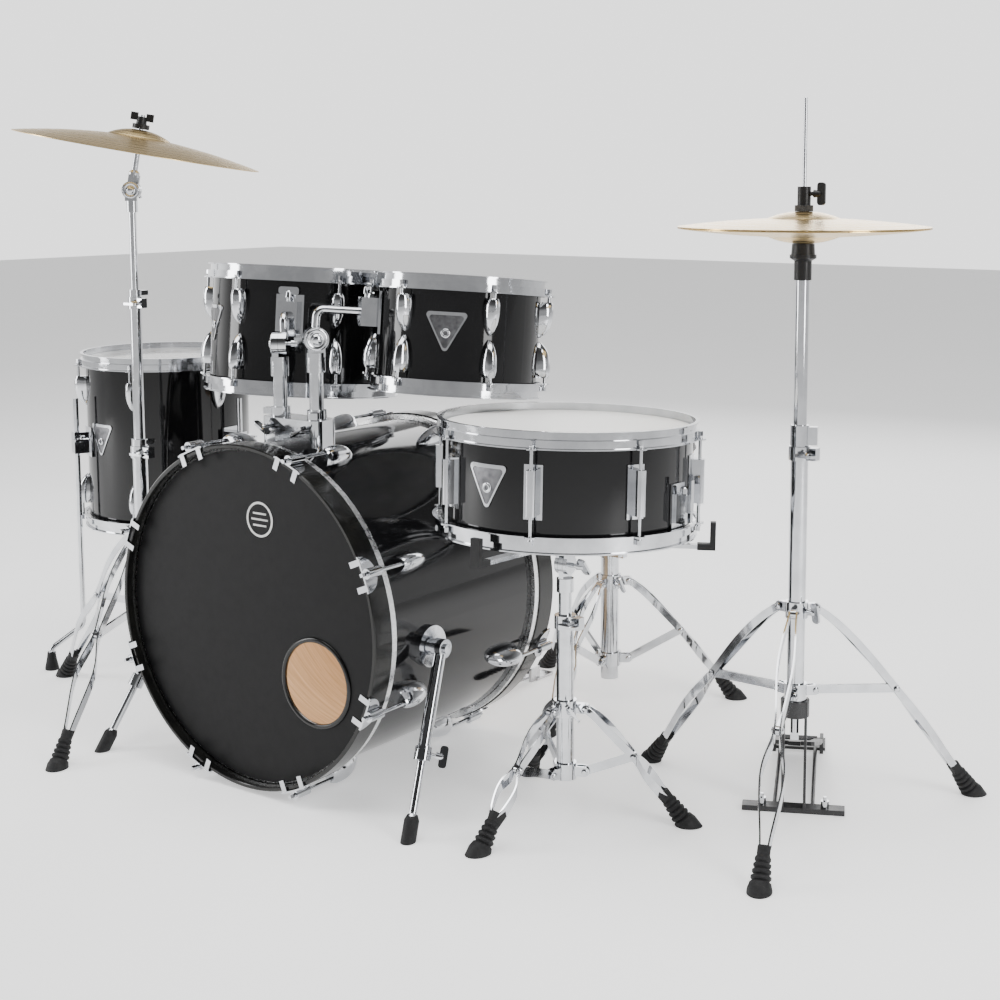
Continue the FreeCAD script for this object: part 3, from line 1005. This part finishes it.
def hihat():
    """Hi-hat: tripod with pedal, height tube with the lower cymbal, pull rod, clutch and upper cymbal."""
    place = in_kit(mm("hihat_x"), mm("hihat_y"))
    bottom, toe_z = mm("hihat_bottom"), mm("hihat_toe_z")
    turn = mm("hihat_pedal_angle")
    heel_x, heel_z, toe_x = 30 + mm("hihat_board_length") - 20, 20.0, 32.0
    cheeks = [block(f"hihat_cheek_{i}", 26, 4, bottom - 2, at(0, 16 * i, 4)) for i in (1, -1)]
    ring = cylinder("hihat_frame_ring", 21, 24, at(z=bottom - 22))
    crossbar = block("hihat_crossbar", 22, 150, 8, at(z=0))
    hollow = [cylinder("hihat_ring_bore", 12.8, 40, at(z=bottom - 0.5)),
              cylinder("hihat_rod_bore", 7, 60, at(z=bottom - 40))]
    frame = cut("hihat_frame", fused("hihat_frame_blank", cheeks + [ring, crossbar]), hollow)
    heel = heel_plate("hihat", heel_x, heel_z)
    bars = floor_bars("hihat", 11.1, heel_x + 7.9, 28)
    spikes = [turned(f"hihat_spike_{i}", [(0, 8.1), (6, 8.1), (6, 18), (2.6, 18), (2.6, 24), (0, 24)], at(0, i * 46, 0))
              for i in (1, -1)]
    pedal_parts = group_of("hihat_pedal_parts", [frame, heel] + bars + spikes)
    pedal_frame = copies("hihat_pedal_frame", pedal_parts, [at(turn=turn)])
    stand_tube("hihat", "hihat_stand_base", [pedal_frame])

    seat, edge = mm("hihat_seat_z"), mm("hihat_edge_z")
    rise = mm("hihat_bow") + mm("hihat_bell")
    gap, thick = mm("hihat_gap"), mm("cymbal_sheet")
    low_bell = edge - gap / 2 - thick - rise
    tube = pipe("hihat_height_tube", "hihat_inner_tube", "hihat_inner_tube - 1.5", 330, seat - 4)
    lock = clamp_ring("hihat_memory_lock", "hihat_inner_tube", 30, mm("hihat_tube_top") + 0.4, 20)
    cup = turned("hihat_seat_cup", [
        (9.54, seat - 27), (12.5, seat - 27), (12.5, seat), (19, seat + 4), (19, seat + 9), (3.6, seat + 9),
        (3.6, seat - 3.9), (9.54, seat - 3.9)])
    felt = turned("hihat_seat_felt", [(3.7, seat + 9.05), (17, seat + 9.05), (16, low_bell - 0.3), (3.7, low_bell - 0.3)])
    node("hihat_upper_tube", [tube, lock, cup, felt], place)
    low_cymbal = cymbal("hihat_low_plate", mm("hihat_radius"), mm("hihat_bow"), mm("hihat_bell"))
    low_cymbal.Placement = FreeCAD.Placement(V(0, 0, edge - gap / 2 - thick), FreeCAD.Rotation(X, 180))
    node("hihat_bottom_cymbal", [low_cymbal], place)

    rod = turned("hihat_rod", [
        (0, 119), ("hihat_rod_radius", 119), ("hihat_rod_radius", "hihat_rod_top - hihat_rod_tip"),
        ("hihat_tip_radius", "hihat_rod_top - hihat_rod_tip"), ("hihat_tip_radius", "hihat_rod_top - 1"),
        ("hihat_tip_radius - 1", "hihat_rod_top"), (0, "hihat_rod_top")])
    yoke = turned("hihat_yoke", [(3.02, 120), (6, 120), (6, 142), (3.02, 142)])
    strap = block("hihat_strap", 3, 12, 11.7, at(0, 0, 108.2))
    strap_block = block("hihat_strap_head", 8, 12, 6, at(0, 0, 113.9))
    rod_foot = fused("hihat_rod_foot", [rod, strap, strap_block])
    node("hihat_pull_rod", [rod_foot, yoke], place.multiply(at(turn=turn)))

    bell_top = edge + gap / 2 + thick + rise
    clutch = turned("hihat_clutch_tube", [
        (3.06, bell_top - 18), (9, bell_top - 18), (9, bell_top - 10.5), (5.2, bell_top - 10.5), (5.2, bell_top + 9),
        (9.5, bell_top + 9), (9.5, bell_top + 35), (3.06, bell_top + 35)])
    low_felt = pipe("hihat_low_felt", 13, 5.3, bell_top - 10.4, bell_top - 2.4)
    top_felt = pipe("hihat_top_felt", 13, 5.3, bell_top + 0.3, bell_top + 8.9)
    bolts = wing_bolts("hihat_clutch_bolt", [facing(V(15.6, 0, bell_top + 25), X)])
    node("hihat_clutch", [clutch, low_felt, top_felt, bolts], place)
    top_cymbal = cymbal("hihat_top_plate", mm("hihat_radius"), mm("hihat_bow"), mm("hihat_bell"))
    top_cymbal.Placement = at(z=edge + gap / 2 + thick)
    node("hihat_top_cymbal", [top_cymbal], place)

    board, lie = footboard("hihat", toe_x, toe_z, heel_x, heel_z, 34)
    board.Placement = lie
    node("hihat_footboard", [board], place.multiply(at(turn=turn)))


hihat()


# ---- crash cymbal stand -----------------------------------------------------------------------------------------

def crash():
    """Three-section cymbal stand with a tilter and the crash cymbal."""
    place = in_kit(mm("crash_x"), mm("crash_y"))
    stand_tube("crash", "crash_stand_base", [])
    middle_top, tilt_z = mm("crash_middle_top"), mm("crash_tilter_z")
    middle, top = "crash_middle_radius", "crash_top_radius"
    tube = pipe("crash_middle_pipe", middle, f"{top} + 0.3", 250, middle_top - 20)
    sleeve = pipe("crash_middle_sleeve", f"{middle} + 2.5", f"{top} + 0.3", middle_top - 20, middle_top)
    lug_piece = block("crash_middle_lug", 14, 12, 16, at(mm(middle) + 6, 0, middle_top - 18))
    bore = pipe("crash_middle_bore", f"{top} + 0.3", 0, middle_top - 30, middle_top + 5)
    clamp = cut("crash_middle_clamp", fused("crash_middle_blank", [tube, sleeve, lug_piece]), [bore])
    bolt = wing_bolts("crash_middle_bolt", [facing(V(mm(middle) + 6, -6.05 - 6, middle_top - 10), Y * -1)])
    lock = clamp_ring("crash_middle_lock", middle, 12, mm("crash_tube_top") + 0.4, 50)
    node("crash_middle_tube", [clamp, bolt, lock], place)

    heading = mm("crash_tilt_heading")
    facing_tilt = at(turn=heading)
    bar = cylinder("crash_top_bar", top, tilt_z - 18 - 520, at(z=520))
    cap = cylinder("crash_top_cap", 9.5, 20, at(z=tilt_z - 37))
    cheek = cylinder("crash_fixed_disc", 15, 9, facing(V(0, -9.3, tilt_z), Y))
    ear = block("crash_fixed_ear", 20, 9, 20, at(0, -4.8, tilt_z - 18))
    pin = cylinder("crash_tilt_pin", 3.5, 24, facing(V(0, -9.3, tilt_z), Y))
    top_lock = clamp_ring("crash_top_lock", top, 12, middle_top + 0.4, 50)
    fixed = fused("crash_fixed_half", [bar, cap, cheek, ear, pin])
    wing = wing_bolts("crash_tilt_wing", [facing(V(0, 21, tilt_z), Y, 60)])
    node("crash_top_tube", [fixed, top_lock, wing], place.multiply(facing_tilt))

    edge = mm("crash_cymbal_z")
    rise, thick = mm("crash_bow") + mm("crash_bell"), mm("cymbal_sheet")
    bell_top = edge + thick + rise
    moving = cylinder("crash_moving_disc", 15, 9, facing(V(0, 0.3, 0), Y))
    hole = cylinder("crash_pin_hole", 3.56, 40, facing(V(0, -10, 0), Y))
    shank = block("crash_moving_neck", 18, 9, 22, at(0, 4.8, 4))
    stem = turned("crash_stem", [(0, 22), (9, 22), (9, 30), (5, 34), (5, bell_top - 13.4), (15, bell_top - 13.4),
                                 (15, bell_top - 11), (4, bell_top - 11), (4, bell_top + 25), (0, bell_top + 25)])
    neck = block("crash_stem_foot", 14, 18.6, 8, at(0, 0.6, 18))
    tilter_solid = cut("crash_tilter_solid", fused("crash_tilter_blank", [moving, shank, neck, stem]), [hole])
    low_felt = pipe("crash_low_felt", 14, 4.1, bell_top - 10.9, bell_top - thick - 1.3)
    top_felt = pipe("crash_top_felt", 14, 4.1, bell_top + 1.4, bell_top + 9.4)
    nut = turned("crash_wing_nut", [(4.1, bell_top + 9.5), (9, bell_top + 9.5), (7.5, bell_top + 22), (4.1, bell_top + 22)])
    wings = [block(f"crash_nut_wing_{i}", 12, 4, 13, at(i * 13, 0, bell_top + 15)) for i in (1, -1)]
    nut_solid = fused("crash_nut_solid", [nut] + wings)
    lean = at(turn=mm("crash_tilt"), axis=Y)
    tilted = place.multiply(facing_tilt).multiply(at(z=tilt_z)).multiply(lean)
    node("crash_tilter", [tilter_solid, low_felt, top_felt, nut_solid], tilted)
    plate = cymbal("crash_plate", mm("crash_radius"), mm("crash_bow"), mm("crash_bell"), 6.5)
    plate.Placement = at(z=edge + thick)
    node("crash_cymbal", [plate], tilted)


crash()


# ---- throne -----------------------------------------------------------------------------------------------------

def throne():
    """Drum throne: tripod, height post and a padded seat that spins on it."""
    place = in_kit(mm("throne_x"), mm("throne_y"))
    stand_tube("throne", "throne_base", [])
    seat, inner = mm("seat_z"), "throne_inner_tube"
    tube = pipe("throne_height_tube", inner, f"{inner} - 2", 130, seat - 6)
    lock = clamp_ring("throne_memory_lock", inner, 16, mm("throne_tube_top") + 0.4, 40)
    node("throne_post", [tube, lock], place)
    socket = turned("throne_socket", [
        (f"{inner} + 0.08", seat - 46), (19, seat - 46), (19, seat - 6), (62, seat - 3), (62, seat), (0, seat),
        (0, seat - 5.6), (f"{inner} + 0.08", seat - 5.6)])
    board = pipe("throne_board", "seat_radius - 8", 0, seat + 0.1, seat + 12)
    cushion = turned("throne_cushion", [
        (0, seat + 12.1), ("seat_radius - 6", seat + 12.1), ("seat_radius", seat + 22), ("seat_radius", seat + 52),
        ("seat_radius - 6", seat + 64), ("seat_radius - 24", seat + 73), (0, "seat_z + seat_thickness")])
    node("throne_seat", [socket, board, cushion], place)


throne()


def finish():
    """Checks every object and every sub-part, then writes one file for each sub-part."""
    doc.recompute()
    broken = [o.Name for o in doc.Objects if "Invalid" in o.State or "Error" in o.State]
    for part in NODES:
        if part.Shape.isNull() or not part.Shape.isValid() or not part.Shape.Solids:
            broken.append(part.Label)
    if broken:
        raise RuntimeError("these objects failed: " + ", ".join(broken))
    os.makedirs("parts", exist_ok=True)
    for part in NODES:
        part.Shape.exportStep(os.path.join("parts", part.Label + ".step"))
    print(len(NODES), "sub-parts")


finish()
